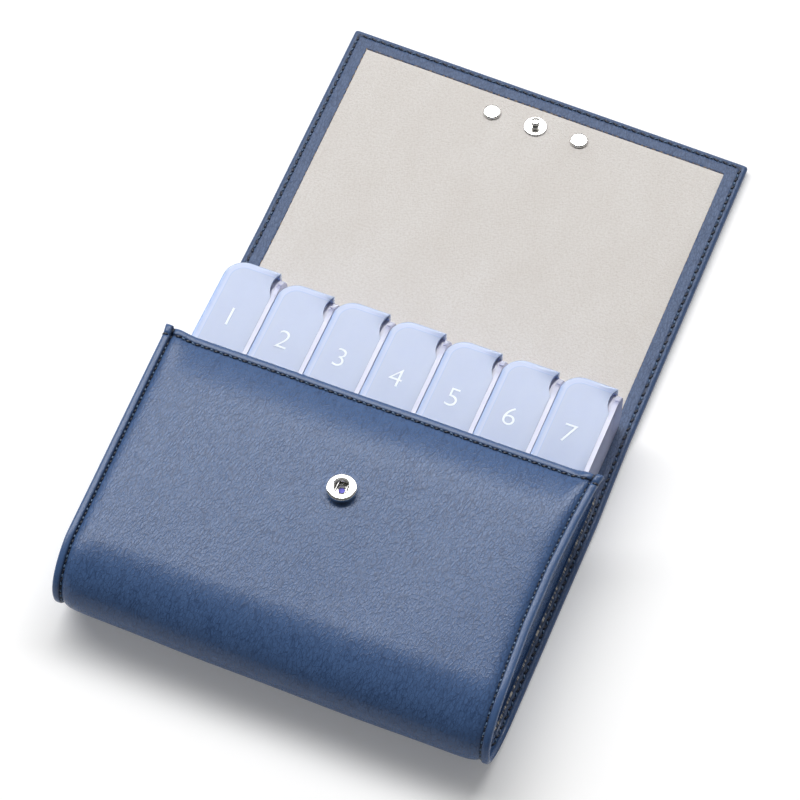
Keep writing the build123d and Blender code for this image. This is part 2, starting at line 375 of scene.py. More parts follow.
def tinted(tree, share, first, second):
    """Colour between two others, at that share of the way."""
    pair = [c if isinstance(c, bpy.types.NodeSocket) else (*c, 1) for c in (first, second)]
    return node(tree, "ShaderNodeMix", data_type_="RGBA", i0=share, i6=pair[0], i7=pair[1]).outputs[2]


def raised(tree, height, strength, deep):
    """Bump from a height, that deep in metres."""
    return node(tree, "ShaderNodeBump", Strength=strength, Distance=deep, Height=height).outputs[0]


def new_finish(name):
    """Empty node material: returns the material, its tree and its main shader."""
    finish = bpy.data.materials.new(name)
    finish.use_nodes = True
    tree = finish.node_tree
    return finish, tree, tree.nodes["Principled BSDF"]


def cells(tree, where, scale, wall):
    """Rounded cells: 0 at the walls between them, 1 from that distance inwards."""
    far = node(tree, "ShaderNodeTexVoronoi", feature_="DISTANCE_TO_EDGE", Vector=where, Scale=scale)
    return ranged(tree, far.outputs["Distance"], 0.0, wall, curve="SMOOTHSTEP")


def leather_finish():
    """Grain: the flat map is warped and cut into two sizes of cells, long ones over short ones; their
    distance to the cell walls makes rounded pebbles and creases for bump, colour and roughness. One
    mark paints shade into the sewn valleys and the hem grooves as near-black, and the fold mark thins
    the grain where leather is pulled over an edge. The turned mark dulls the hem inside and paints it
    darker, as the shade it lies in, and the raw mark lets ochre fibres show at its cut edge."""
    finish, tree, shader = new_finish("navy_leather_cloth")
    where = flat_map(tree)
    drift = node(tree, "ShaderNodeTexNoise", Vector=where, Scale=9.0, Detail=3.0).outputs["Color"]
    drift = node(tree, "ShaderNodeVectorMath", operation_="SUBTRACT", i0=drift, i1=(0.5, 0.5, 0.5)).outputs[0]
    drift = node(tree, "ShaderNodeVectorMath", operation_="SCALE", i0=drift, Scale=0.008).outputs[0]
    warped = node(tree, "ShaderNodeVectorMath", operation_="ADD", i0=where, i1=drift).outputs[0]
    slant = stretched(tree, warped, turn=-0.1)
    pebble = cells(tree, stretched(tree, slant, (1.0, 0.42, 1.0)), 122.0, 0.19)
    crease = cells(tree, stretched(tree, slant, (1.0, 0.22, 1.0)), 86.0, 0.13)
    patch = noise(tree, where, 13.0, 4.0)
    worn = maths(tree, "MULTIPLY", mark(tree, "fold"), 0.65)
    grain = mixed(tree, worn, mixed(tree, 0.4, pebble, crease), 0.75)
    tint = tinted(tree, grain, (0.024, 0.053, 0.132), (0.06, 0.119, 0.262))
    tint = tinted(tree, ranged(tree, patch, 0.3, 0.7, 0.0, 0.22), tint, (0.083, 0.147, 0.295))
    fray = ranged(tree, noise(tree, where, 70.0, 4.0), 0.46, 0.62)
    tint = tinted(tree, maths(tree, "MULTIPLY", mark(tree, "raw"), fray), tint, (0.52, 0.36, 0.17))
    # Painted shade: the sewn valleys, the hem grooves and the gusset's fold go near-black, as the shade that falls
    # in them.
    tint = tinted(tree, maths(tree, "MULTIPLY", mark(tree, "seam"), 0.82), tint, (0.006, 0.01, 0.024))
    turned = mark(tree, "turned")
    # Painted shade: the inside of the hem is made darker, as the shade it lies in.
    tint = tinted(tree, maths(tree, "MULTIPLY", turned, 0.3), tint, (0.012, 0.022, 0.05))
    matt = maths(tree, "MULTIPLY_ADD", turned, 0.14, ranged(tree, grain, start=0.34, end=0.25))
    bump = raised(tree, grain, 0.4, 0.00012)
    feed(tree, shader, Base_Color=tint, Roughness=matt, Normal=bump, Specular_IOR_Level=0.325)
    return finish


leather = leather_finish()
edge_steps = np.array([
    0, 0.1, 0.3, 0.6, 1.0, 1.5, 2.0, 2.2, 2.4, 2.6, 2.8, 2.89, 2.91, 3.1, 3.3, 3.5, 3.8, 4.1, 4.6, 5.2, 5.7,
    6.3, 6.98, 7.02, 7.3, 7.34, 8.2, 9.4, 11.2, 14, 14.1, 14.22, 14.36, 14.51, 14.67, 14.84, 15,
])


def leather_sheet(name, lengths):
    """One stretch of the leather with both faces, its edge marks and its flat map."""
    points, flat, d = sheet_rings(np.asarray(lengths, float), edge_steps, outside, inside)
    s = flat[..., 1]
    front = on_front(s)
    edge = np.minimum(d, flap_end - s)
    outer = np.arange(flat.shape[1]) < flat.shape[1] // 2 + 1
    # Mask of painted shade: the valleys beside the welt and behind the lip, and the hem groove on the back.
    valley = bell(d - welt_width, 0.5) + bell(s - lip_width, 0.55) * (d > welt_width)
    groove = bell(edge - hem_seam, 0.45)
    pulled = np.maximum((d < welt_width) * front, (s < lip_width) * 1.0)
    marks = {
        "seam": np.where(outer, front * np.minimum(valley, 1), 0) + (1 - front) * groove,
        "fold": np.maximum(pulled, np.exp(-edge / 1.2)),
        "raw": ((edge > turned_hem + 0.01) & (edge < turned_hem + 0.36) & ~outer) * (1 - front),
        "turned": ~outer * (1 - front),
    }
    piece = make_piece(name, points, ring_faces(len(points), points.shape[1]), flat, marks)
    return dress(piece, leather)


near_edge = np.concatenate([
    [0.06, 0.2, 0.45, 0.8], np.linspace(1.2, 2.6, 5), [2.8, 2.89, 2.91], np.linspace(3.1, 9, 16),
])
case_leather = leather_sheet("case_leather", np.concatenate([
    near_edge,
    np.linspace(10.5, front_run, 34),
    np.linspace(front_run, back_start, 46)[1:],
    np.linspace(back_start, case_seam, 46)[1:],
]))
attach(case_leather, "case")
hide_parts("outer_wrap", "front_board", "back_board")


# ---------------------------------------------------------------------------
# Spine and flap leather. The same cloth goes on past the pocket as the spine and the
# flap, with two soft creases, and is turned over the edge as a hem on three sides.

spine_middle = at_back((y_root + y_fold) / 2)
lower_lengths = np.linspace(case_seam, spine_middle, 34)
upper_lengths = np.linspace(spine_middle, flap_seam, 34)

spine_lower = leather_sheet("spine_lower", lower_lengths)
spine_upper = leather_sheet("spine_upper", upper_lengths)
flap_leather = leather_sheet("flap_leather", np.concatenate([
    np.linspace(flap_seam, flap_end - 9, 44), flap_end - near_edge[::-1],
]))


def bend_between(piece):
    """Bakes the piece's place in the scene into its mesh; it follows no body."""
    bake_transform(piece)


def bend_at_root(piece):
    """Bakes the piece's place into its mesh, as bend_between does; it follows neither the back nor the spine."""
    bend_between(piece)


def bend_at_front(piece):
    """Bakes the piece's place into its mesh, as bend_between does; it follows neither the spine nor the flap."""
    bend_between(piece)


bend_at_root(spine_lower)
bend_at_front(spine_upper)
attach(flap_leather, "flap_panel")
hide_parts("spine_skin", "spine_board")
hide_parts("flap_skin", "flap_board")


# ---------------------------------------------------------------------------
# Lining. Cream suede cloth glued over the boards inside the pocket, the spine and the
# flap, its edges caught under the turned hem.

tuck = 6.4
suede_glued = 2.38
suede_thick = 0.58
suede_steps = np.array([
    tuck, 6.9, 7.1, 7.4, 7.8, 8.5, 9.6, 11.5, 14, 14.1, 14.2, 14.3, 14.42, 14.55, 14.7, 14.85, 15,
])


def suede_under(x, s):
    """Glued face, flat on the board, and lower where the front sinks."""
    return np.minimum(-suede_glued, outside(x, s) - 0.9)


def suede_top(x, s):
    """Nap face: dips to the hem as an exponential and waves by less than a tenth of a millimetre."""
    edge = np.minimum(edge_gap(x, s), flap_end - s)
    wave = 0.05 * np.sin(x / 11 + s / 31) * np.sin(s / 17 - x / 40)
    return suede_under(x, s) - suede_thick + 0.22 * np.exp(-np.maximum(edge - turned_hem, 0) / 1.2) + wave


def suede_finish():
    """Nap: fine noise for bump, and two larger noises that move the cream colour a little, as where
    the nap has been stroked."""
    finish, tree, shader = new_finish("cream_suede")
    where = flat_map(tree)
    fibre = noise(tree, where, 190.0, 6.0, 0.68)
    speck = noise(tree, where, 115.0, 4.0, 0.7)
    cloud = noise(tree, stretched(tree, where, (1.0, 0.45, 1.0), 0.5), 7.0, 5.0, 0.62)
    tint = tinted(tree, cloud, (0.66, 0.62, 0.583), (0.77, 0.75, 0.73))
    tint = tinted(tree, ranged(tree, speck, 0.42, 0.7, 0.0, 0.75), tint, (0.59, 0.545, 0.505))
    bump = raised(tree, maths(tree, "MULTIPLY_ADD", speck, 0.5, fibre), 1.0, 0.00035)
    rough = ranged(tree, fibre, start=0.82, end=1.0)
    feed(tree, shader, Base_Color=tint, Roughness=rough, Normal=bump, Specular_IOR_Level=0.2)
    feed(tree, shader, Sheen_Weight=0.2, Sheen_Roughness=0.5)
    return finish


suede = suede_finish()


def suede_sheet(name, lengths):
    """One stretch of lining with both faces and its flat map."""
    points, flat, _ = sheet_rings(lengths, suede_steps, suede_under, suede_top)
    piece = make_piece(name, points, ring_faces(len(points), points.shape[1]), flat)
    dress(piece, suede)
    return piece


pocket_suede = suede_sheet("pocket_suede", np.concatenate([
    np.linspace(5.0, front_run, 30),
    np.linspace(front_run, back_start, 30)[1:],
    np.linspace(back_start, case_seam, 50)[1:],
]))
spine_suede_lower = suede_sheet("spine_suede_lower", lower_lengths)
spine_suede_upper = suede_sheet("spine_suede_upper", upper_lengths)
flap_suede = suede_sheet("flap_suede", np.concatenate([
    np.linspace(flap_seam, flap_end - 12, 40), flap_end - np.linspace(11, tuck, 10),
]))
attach(pocket_suede, "case")
bend_at_root(spine_suede_lower)
bend_at_front(spine_suede_upper)
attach(flap_suede, "flap_panel")
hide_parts("pocket_lining")
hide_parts("spine_lining")
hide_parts("flap_lining")


# ---------------------------------------------------------------------------
# Gussets. A strip of the same leather cloth on each side, folded inwards and sewn to
# the front and back, so that the pocket can spread. Its cut back edge shows cream.

gusset_thick = 1.0
crease_x = 73.9
gusset_drop = 9.0
gusset_low_corner = 5.5
gusset_slant = 9.0
gusset_round = 10.9
gusset_fall = 10.4


def gusset_line(reach, y, t):
    """Middle of the folded strip at height y and share t from front to back: six corner places
    across the gap, joined straight, drawn in to the mid-depth where the bottom rolls."""
    front_x = reach(np.clip(y_mouth - y, 0, front_run))
    back_x = reach(at_back(y))
    knots = np.array([0.0, 0.1, 0.5, 0.84, 0.92, 1.0])
    xs = np.stack([
        np.maximum(73.8, front_x - 1.4), np.maximum(73.5, front_x - 2.4), crease_x + 0 * y,
        np.maximum(74.0, back_x - 5.6), np.maximum(74.4, back_x - 4.9), back_x - 3.7,
    ], -1)
    zs = np.array([26.0, 24.4, 14.0, 4.9, 3.8, 4.5])
    k = np.clip(np.searchsorted(knots, t, side="right") - 1, 0, 4)
    f = (t - knots[k]) / (knots[k + 1] - knots[k])
    x0, x1 = (np.take_along_axis(xs, i[..., None], -1)[..., 0] for i in (k, k + 1))
    x = x0 * (1 - f) + x1 * f
    z = zs[k] * (1 - f) + zs[k + 1] * f
    fall = np.clip(y_roll - y, 0, gusset_fall)
    squeeze = np.sqrt(gusset_round**2 - fall**2) / gusset_round
    return x, roll_radius + (z - roll_radius) * squeeze


def cut_edge_finish():
    """Cut edge of the cloth: cream fibres that show as uneven dots between navy ones."""
    finish, tree, shader = new_finish("cut_cloth_edge")
    share = ranged(tree, noise(tree, flat_map(tree), 130.0, 3.0), 0.5, 0.66)
    tint = tinted(tree, share, (0.03, 0.045, 0.085), (0.5, 0.47, 0.41))
    feed(tree, shader, Base_Color=tint, Roughness=0.9)
    return finish


cut_edge = cut_edge_finish()


def gusset(name, side):
    """Closed strip: the middle line moved half a thickness to both sides along its normal, carried
    along the side of the pocket, with a slanted top edge."""
    t = np.concatenate([np.linspace(0, 0.44, 10), np.linspace(0.47, 0.53, 4), np.linspace(0.57, 1, 16)])
    u = np.concatenate([np.linspace(0, 0.12, 12), np.linspace(0.14, 1, 40)])[:, None]
    low = np.full(t.shape, y_roll - gusset_drop)
    high = y_mouth - gusset_low_corner + gusset_slant * smooth((t - 0.2) / 0.7)
    y = low + (high - low) * u
    x, z = gusset_line(right_reach if side > 0 else left_reach, y, np.broadcast_to(t, y.shape))
    x[:, 1:-1] = (x[:, :-2] + 2 * x[:, 1:-1] + x[:, 2:]) / 4
    dx, dz = np.gradient(x, axis=1), np.gradient(z, axis=1)
    length = np.hypot(dx, dz)
    ox, oz = -dz / length * gusset_thick / 2, dx / length * gusset_thick / 2
    outer = np.stack([side * (x + ox), y, z + oz], -1)
    inner = np.stack([side * (x - ox), y, z - oz], -1)
    points = np.concatenate([outer, inner[:, ::-1]], 1)
    flat = np.stack([np.cumsum(length, 1), y], -1)
    flat = np.concatenate([flat, flat[:, ::-1]], 1)
    rows, ring = points.shape[:2]
    walls = wall_faces(rows, ring)
    i = np.arange(len(t) - 1)
    strip = np.stack([i, i + 1, ring - 2 - i, ring - 1 - i], -1)
    faces = np.concatenate([walls, strip[:, ::-1], strip + (rows - 1) * ring])
    if side > 0:
        faces = faces[:, ::-1]
    # Painted shade along the fold in the middle of the strip.
    seam = np.broadcast_to(0.5 * bell(np.concatenate([t, t[::-1]]) - 0.5, 0.02), (rows, ring))
    piece = make_piece(name, points, faces.tolist(), flat, {"seam": seam, "fold": np.full(seam.shape, 0.3)})
    dress(piece, leather)
    piece.data.materials.append(cut_edge)
    cut = np.zeros(len(faces), np.int32)
    cut[len(t) - 1:len(walls):ring] = 1
    piece.data.polygons.foreach_set("material_index", cut)
    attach(piece, "case")
    return piece


gusset_left = gusset("side_gusset_left", -1)
gusset_right = gusset("side_gusset_right", 1)
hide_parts("gusset_left")
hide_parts("gusset_right")


# ---------------------------------------------------------------------------
# Sewing. Waxed navy thread in a lockstitch, about three and a half millimetres to the
# stitch: round the mouth, down both welts, and round the turned hem on both faces.

stitch_pitch = 3.55
stitch_share, stitch_width, stitch_rise = 0.66, 0.9, 0.16
crown_share, crown_width, crown_rise = 0.4, 0.62, 0.34
thread_rings, thread_sides = 7, 6
dive = 0.7
hem_slant = 0.85
welt_slant = 0.5


def stitch_row(centres, along, up, length, slant, width, rise):
    """Row of stitches: each is a round thread whose height falls with the fourth power towards
    its ends, where it dives into its needle holes, set at a slant to the seam."""
    u = np.linspace(-1, 1, thread_rings)
    a = np.linspace(0, 2 * np.pi, thread_sides, endpoint=False)
    side = np.cross(up, along)
    lift = rise - dive * u**4
    line = (
        centres[:, None] + along[:, None] * (u * length / 2)[None, :, None]
        + up[:, None] * lift[None, :, None] + side[:, None] * (u * slant / 2)[None, :, None]
    )
    radius = width / 2 * (1 - 0.3 * u**6)
    turn = a[None, None, :, None]
    ring = side[:, None, None] * np.cos(turn) + up[:, None, None] * np.sin(turn)
    points = line[:, :, None] + ring * radius[None, :, None, None]
    flat = np.stack(np.broadcast_arrays((u * length / 2)[None, :, None], (a * 0.2)[None, None, :]), -1)
    return points, np.broadcast_to(flat, points.shape[:3] + (2,))


def thread_finish():
    """Twisted thread: slanted bands on the flat map for bump, with the hollow between plies painted darker
    as shade. The thread is painted near-black, as the shade of the needle holes and slits it lies in; the crown
    mark is 1 on the short lengths on top, which keep the thread's own mid navy."""
    finish, tree, shader = new_finish("navy_thread")
    twist = stretched(tree, flat_map(tree), turn=0.7)
    ply = node(tree, "ShaderNodeTexWave", Vector=twist, Scale=55.0, Distortion=0.6).outputs["Fac"]
    # Painted shade: the near-black thread stands in for needle holes in shade, its ply hollows darker still.
    tint = tinted(tree, ply, (0.004, 0.007, 0.018), (0.014, 0.024, 0.05))
    tint = tinted(tree, mark(tree, "crown"), tint, (0.085, 0.15, 0.255))
    rough = ranged(tree, ply, start=0.6, end=0.42)
    feed(tree, shader, Base_Color=tint, Roughness=rough, Normal=raised(tree, ply, 0.5, 0.00012))
    return finish


thread = thread_finish()


def sew(name, rows):
    """One piece from several rows of stitches, with the thread closed at both ends."""
    size = thread_rings * thread_sides
    points = np.concatenate([row[0].reshape(-1, size, 3) for row in rows])
    flat = np.concatenate([row[1].reshape(-1, size, 2) for row in rows])
    crown = np.concatenate([np.full((len(row[0]), size), row[2]) for row in rows])
    first = (np.arange(len(points)) * size)[:, None, None]
    walls = (first + wall_faces(thread_rings, thread_sides)).reshape(-1, 4)[:, ::-1]
    tips = np.arange(thread_sides)
    ends = np.stack([tips[::-1], tips + size - thread_sides])
    ends = (first + ends).reshape(-1, thread_sides)[:, ::-1]
    piece = make_piece(name, points, walls.tolist() + ends.tolist(), flat, {"crown": crown})
    return dress(piece, thread)


def wrap_stitches(x, s, face, slant, crosswise=False, crown=0):
    """Stitches at places on the leather: the seam runs along the path, or across it."""
    off = outside(x, s) if face > 0 else inside(x, s)
    centres, up = place(x, s, off)
    ahead, _ = place(x, s + 0.5, off)
    along = np.broadcast_to([1.0, 0.0, 0.0], centres.shape) if crosswise else ahead - centres
    along = along / np.linalg.norm(along, axis=-1, keepdims=True)
    share, width, rise = stitch_share, stitch_width, stitch_rise
    if crown:
        share, width, rise = crown_share, crown_width, crown_rise
    return stitch_row(centres, along, up * face, stitch_pitch * share, slant, width, rise) + (crown,)


def from_side(side, s, inset):
    """Place across, that far in from one side's edge."""
    return right_reach(s) - inset if side > 0 else inset - left_reach(s)


def side_row(side, s, inset, face, slant, crown=0):
    """Stitches at one side, that far in from the edge."""
    return wrap_stitches(from_side(side, s, inset), s, face, slant * side * face, crown=crown)


def spaced(s0, s1):
    """Even stitch places that fill a stretch, and the places between each two."""
    count = max(int(round((s1 - s0) / stitch_pitch)), 1)
    s = s0 + (np.arange(count) + 0.5) * (s1 - s0) / count
    return s, (s[1:] + s[:-1]) / 2


def seam_row(side, s0, s1, inset, face, slant):
    """Seam along one side: stitches painted near-black as the shade of their needle holes, and a crown of thread in
    its own navy between each two.
    """
    s, between = spaced(s0, s1)
    return [side_row(side, s, inset, face, slant), side_row(side, between, inset, face, -0.4 * slant, 1)]


def cross_row(s, inset, face):
    """Seam across the case, along the mouth or the flap's far edge, in the same way."""
    x, between = spaced(*(float(from_side(side, np.array(s), inset)) for side in (-1, 1)))
    return [
        wrap_stitches(x, np.full(x.shape, s), face, hem_slant * face, True),
        wrap_stitches(between, np.full(between.shape, s), face, -0.3 * face, True, 1),
    ]


def hem_row(side, s0, s1, face):
    """Slanted stitches along the turned hem."""
    return seam_row(side, s0, s1, hem_seam, face, hem_slant)


def hem_rows(s0, s1):
    """Hem stitches on both sides and both faces."""
    return [row for side in (-1, 1) for face in (-1, 1) for row in hem_row(side, s0, s1, face)]


welt_end = back_start + 14
case_rows = cross_row(lip_width + 0.1, welt_width + 0.9, 1)
for side in (-1, 1):
    case_rows += seam_row(side, 5.6, welt_end, welt_width + 0.1, 1, welt_slant)
    case_rows += hem_row(side, welt_end + 3, case_seam, 1)
    case_rows += hem_row(side, back_start - 12, case_seam, -1)
    case_rows.append(side_row(side, np.array([lip_width * 0.5]), welt_width + 0.3, 1, 0.0))
    ear_x = from_side(side, ear_seam, np.array([1.1, 2.9]))
    case_rows.append(wrap_stitches(ear_x, np.full(2, ear_seam), 1, 0.3, True))
flap_rows = hem_rows(flap_seam, flap_end - hem_seam)
for face in (-1, 1):
    flap_rows += cross_row(flap_end - hem_seam, hem_seam + 0.6, face)
case_stitches = sew("case_stitches", case_rows)
spine_stitches_lower = sew("spine_stitches_lower", hem_rows(case_seam, spine_middle))
spine_stitches_upper = sew("spine_stitches_upper", hem_rows(spine_middle, flap_seam))
flap_stitches = sew("flap_stitches", flap_rows)
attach(case_stitches, "case")
bend_at_root(spine_stitches_lower)
bend_at_front(spine_stitches_upper)
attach(flap_stitches, "flap_panel")


# ---------------------------------------------------------------------------
# Press fastener and rivets. Nickel-plated brass, turned and pressed: a ring socket with
# two spring wires on the front, a stud on its flange inside the flap, a rivet each side.


def turned_piece(name, profile, places, count=72):
    """Surface of revolution: an outline of radius and height, smoothed by cutting its corners three
    times, turned about an upright axis at each place."""
    line = np.array(profile, float)
    for _ in range(3):
        cut = np.stack([line[:-1] * 0.75 + line[1:] * 0.25, line[:-1] * 0.25 + line[1:] * 0.75], 1)
        line = np.concatenate([line[:1], cut.reshape(-1, 2), line[-1:]])
    a = np.linspace(0, 2 * np.pi, count, endpoint=False)
    radius, height = line[:, :1], np.broadcast_to(line[:, 1:], (len(line), count))
    one = np.stack([radius * np.cos(a), radius * np.sin(a), height], -1)
    points = one[None] + np.array(places, float)[:, None, None, :]
    rows = len(line)
    starts = np.arange(len(points)) * rows * count
    walls = starts[:, None, None] + wall_faces(rows, count)
    ends = [np.arange(count)[::-1], np.arange(count) + (rows - 1) * count]
    open_ends = [end for end, size in zip(ends, line[[0, -1], 0]) if size > 1e-6]
    caps = [(end + start).tolist() for start in starts for end in open_ends]
    return make_piece(name, points, walls.reshape(-1, 4).tolist() + caps)


def metal_finish(name, base, low, high):
    """Plated metal: fine noise on the piece moves its roughness, and its colour a little."""
    finish, tree, shader = new_finish(name)
    cloud = noise(tree, in_space(tree), 900.0, 3.0)
    tint = tinted(tree, cloud, base, tuple(c * 1.12 for c in base))
    feed(tree, shader, Base_Color=tint, Roughness=ranged(tree, cloud, 0.3, 0.7, low, high), Metallic=1.0)
    return finish


def backing_finish():
    """Bright violet disc at the bottom of the eyelet's hole, painted light that stands in for the light in the
    hole: a fine noise moves its colour.
    """
    finish, tree, shader = new_finish("painted_hole_light_colour")
    tint = tinted(tree, noise(tree, in_space(tree), 2500.0), (0.16, 0.15, 0.72), (0.24, 0.22, 0.85))
    feed(tree, shader, Base_Color=tint, Roughness=0.7)
    return finish


def refinish(name, finish):
    """Gives a carried-over solid its finish."""
    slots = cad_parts[name].data.materials
    slots.clear()
    slots.append(finish)


nickel = metal_finish("nickel_plate", (0.72, 0.715, 0.69), 0.07, 0.13)
spring_steel = metal_finish("spring_wire", (0.42, 0.41, 0.39), 0.2, 0.35)
socket_foot = [(0, socket_y, roll_radius * 2)]
stud_base = stud_low[2]

socket_ring = turned_piece("socket_ring", [
    (3.4, 0.02), (4.7, 0.0), (5.05, 0.0), (5.2, 0.35), (5.2, 1.9), (5.15, 2.35), (4.85, 2.6), (4.2, 2.66),
    (3.3, 2.62), (2.65, 2.55), (2.45, 2.3), (2.45, 2.0), (2.6, 1.9), (3.6, 1.85), (3.9, 1.5), (3.9, 0.9),
    (3.6, 0.62), (2.6, 0.62), (2.2, 0.6), (2.15, 0.3), (2.3, 0.02), (3.4, 0.02),
], socket_foot)
dress(socket_ring, nickel)
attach(socket_ring, "case")
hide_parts("snap_socket")

eyelet_rim = turned_piece("eyelet_rim", [
    (2.35, -0.1), (2.35, 0.25), (2.15, 0.42), (1.8, 0.44), (1.3, 0.36), (1.02, 0.22), (0.95, 0.0), (0.95, -0.3),
], socket_foot, 48)
dress(eyelet_rim, nickel)
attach(eyelet_rim, "case")

# Painted light: a bright violet disc sits at the bottom of the eyelet's hole, which lies in shade.
painted_hole_light = turned_piece("painted_hole_light", [
    (0.0, -0.2), (1.1, -0.2), (1.1, 0.06), (0.0, 0.1),
], socket_foot, 32)
dress(painted_hole_light, backing_finish())
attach(painted_hole_light, "case")

press_stud = turned_piece("press_stud", [
    (0.0, 0.0), (4.1, 0.0), (4.35, 0.06), (4.35, 0.3), (4.1, 0.5), (3.75, 0.52), (3.6, 0.44), (3.45, 0.44),
    (3.3, 0.5), (2.4, 0.52), (1.5, 0.54), (1.2, 0.66), (1.1, 1.2), (1.1, 2.2), (1.25, 2.5), (1.6, 2.62),
    (1.68, 2.9), (1.62, 3.25), (1.3, 3.45), (0.7, 3.52), (0.0, 3.54),
], [(0, stud_y, stud_base)])
dress(press_stud, nickel)
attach(press_stud, "flap_panel")
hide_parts("snap_stud")

rivet_discs = turned_piece("rivet_discs", [
    (0.0, 0.0), (2.9, 0.0), (3.15, 0.05), (3.28, 0.3), (3.22, 0.62), (3.0, 0.86), (2.7, 0.94),
    (1.2, 0.97), (0.0, 0.97),
], [(x, stud_y, stud_base) for x in fastener_x[::2]])
dress(rivet_discs, nickel)
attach(rivet_discs, "flap_panel")
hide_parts("rivet_caps")

for name in ("socket_eyelet", "stud_cap", "rivet_posts"):
    refinish(name, nickel)
refinish("socket_springs", spring_steel)


# ---------------------------------------------------------------------------
# Day boxes. Seven injection-moulded boxes stand in the pocket: a clear tray with four
# compartments and a ribbed round end, and a milky blue cover that slides off lengthwise.

day_count = 7
cover_corner = 7.5
cover_round = 2.0
side_bend = 0.45
rim_band = 2.3
rim_line = 0.45
rim_ease = 0.55
cover_thick = 1.35
notch_radius = 9.0
notch_middle = 5.0
notch_bite = 1.9
rail_reach = 0.9
side_fill = 0.35
face_fill = 0.26


def clear_finish():
    """Clear styrene with a lilac cast: a slow noise varies its gloss and its tint a little. The long
    walls are hazed by draw marks, and the round grip end is left clear."""
    finish, tree, shader = new_finish("clear_styrene")
    where = in_space(tree)
    cloud = noise(tree, where, 160.0)
    along = node(tree, "ShaderNodeSeparateXYZ", i0=where).outputs[1]
    through = ranged(tree, along, -0.003, 0.001, 0.2, 0.45)
    tint = tinted(tree, cloud, (0.6, 0.635, 0.92), (0.67, 0.7, 0.945))
    rough = ranged(tree, cloud, start=0.02, end=0.09)
    feed(tree, shader, Base_Color=tint, Roughness=rough, Transmission_Weight=through, IOR=1.5)
    feed(tree, shader, Subsurface_Weight=0.4, Subsurface_Radius=(1.0, 1.0, 1.0), Subsurface_Scale=0.006)
    return finish


def milky_finish():
    """Milky blue plastic: a pale blue body with slow flow marks along the box. Its rim mark paints the
    rim of the walls as a paler band, partly the thicker plastic there and partly painted light that the
    rounded rim catches, with a deeper line painted as shade where the band meets the face. Its flank
    mark paints the blue deeper down the left side, as painted shade on that wall."""
    finish, tree, shader = new_finish("milky_blue_plastic")
    cloud = noise(tree, stretched(tree, in_space(tree), (1.0, 0.35, 1.0)), 70.0)
    rim, flank = mark(tree, "rim"), mark(tree, "flank")
    # Painted shade: a deeper line where the rim band meets the face.
    line = ranged(tree, rim, 0.02, 0.2, 0.0, 0.6)
    # Partly painted light: the rim band and the walls go paler, partly from the thicker plastic there.
    pale = ranged(tree, rim, 0.42, 0.58, 0.0, 0.6)
    # Painted shade: the left side wall deepens in blue.
    flank = ranged(tree, flank, 0.3, 1.0, 0.0, 0.9, "SMOOTHSTEP")
    tint = tinted(tree, cloud, (0.345, 0.428, 0.67), (0.41, 0.49, 0.725))
    tint = tinted(tree, line, tint, (0.29, 0.41, 0.76))
    tint = tinted(tree, pale, tint, (0.475, 0.555, 0.82))
    tint = tinted(tree, flank, tint, (0.235, 0.37, 0.78))
    rough = ranged(tree, cloud, start=0.14, end=0.22)
    feed(tree, shader, Base_Color=tint, Roughness=rough, Transmission_Weight=0.15, IOR=1.48)
    feed(tree, shader, Subsurface_Weight=0.7, Subsurface_Radius=(1.0, 1.0, 1.0), Subsurface_Scale=0.004)
    return finish


clear_styrene, milky_blue = clear_finish(), milky_finish()


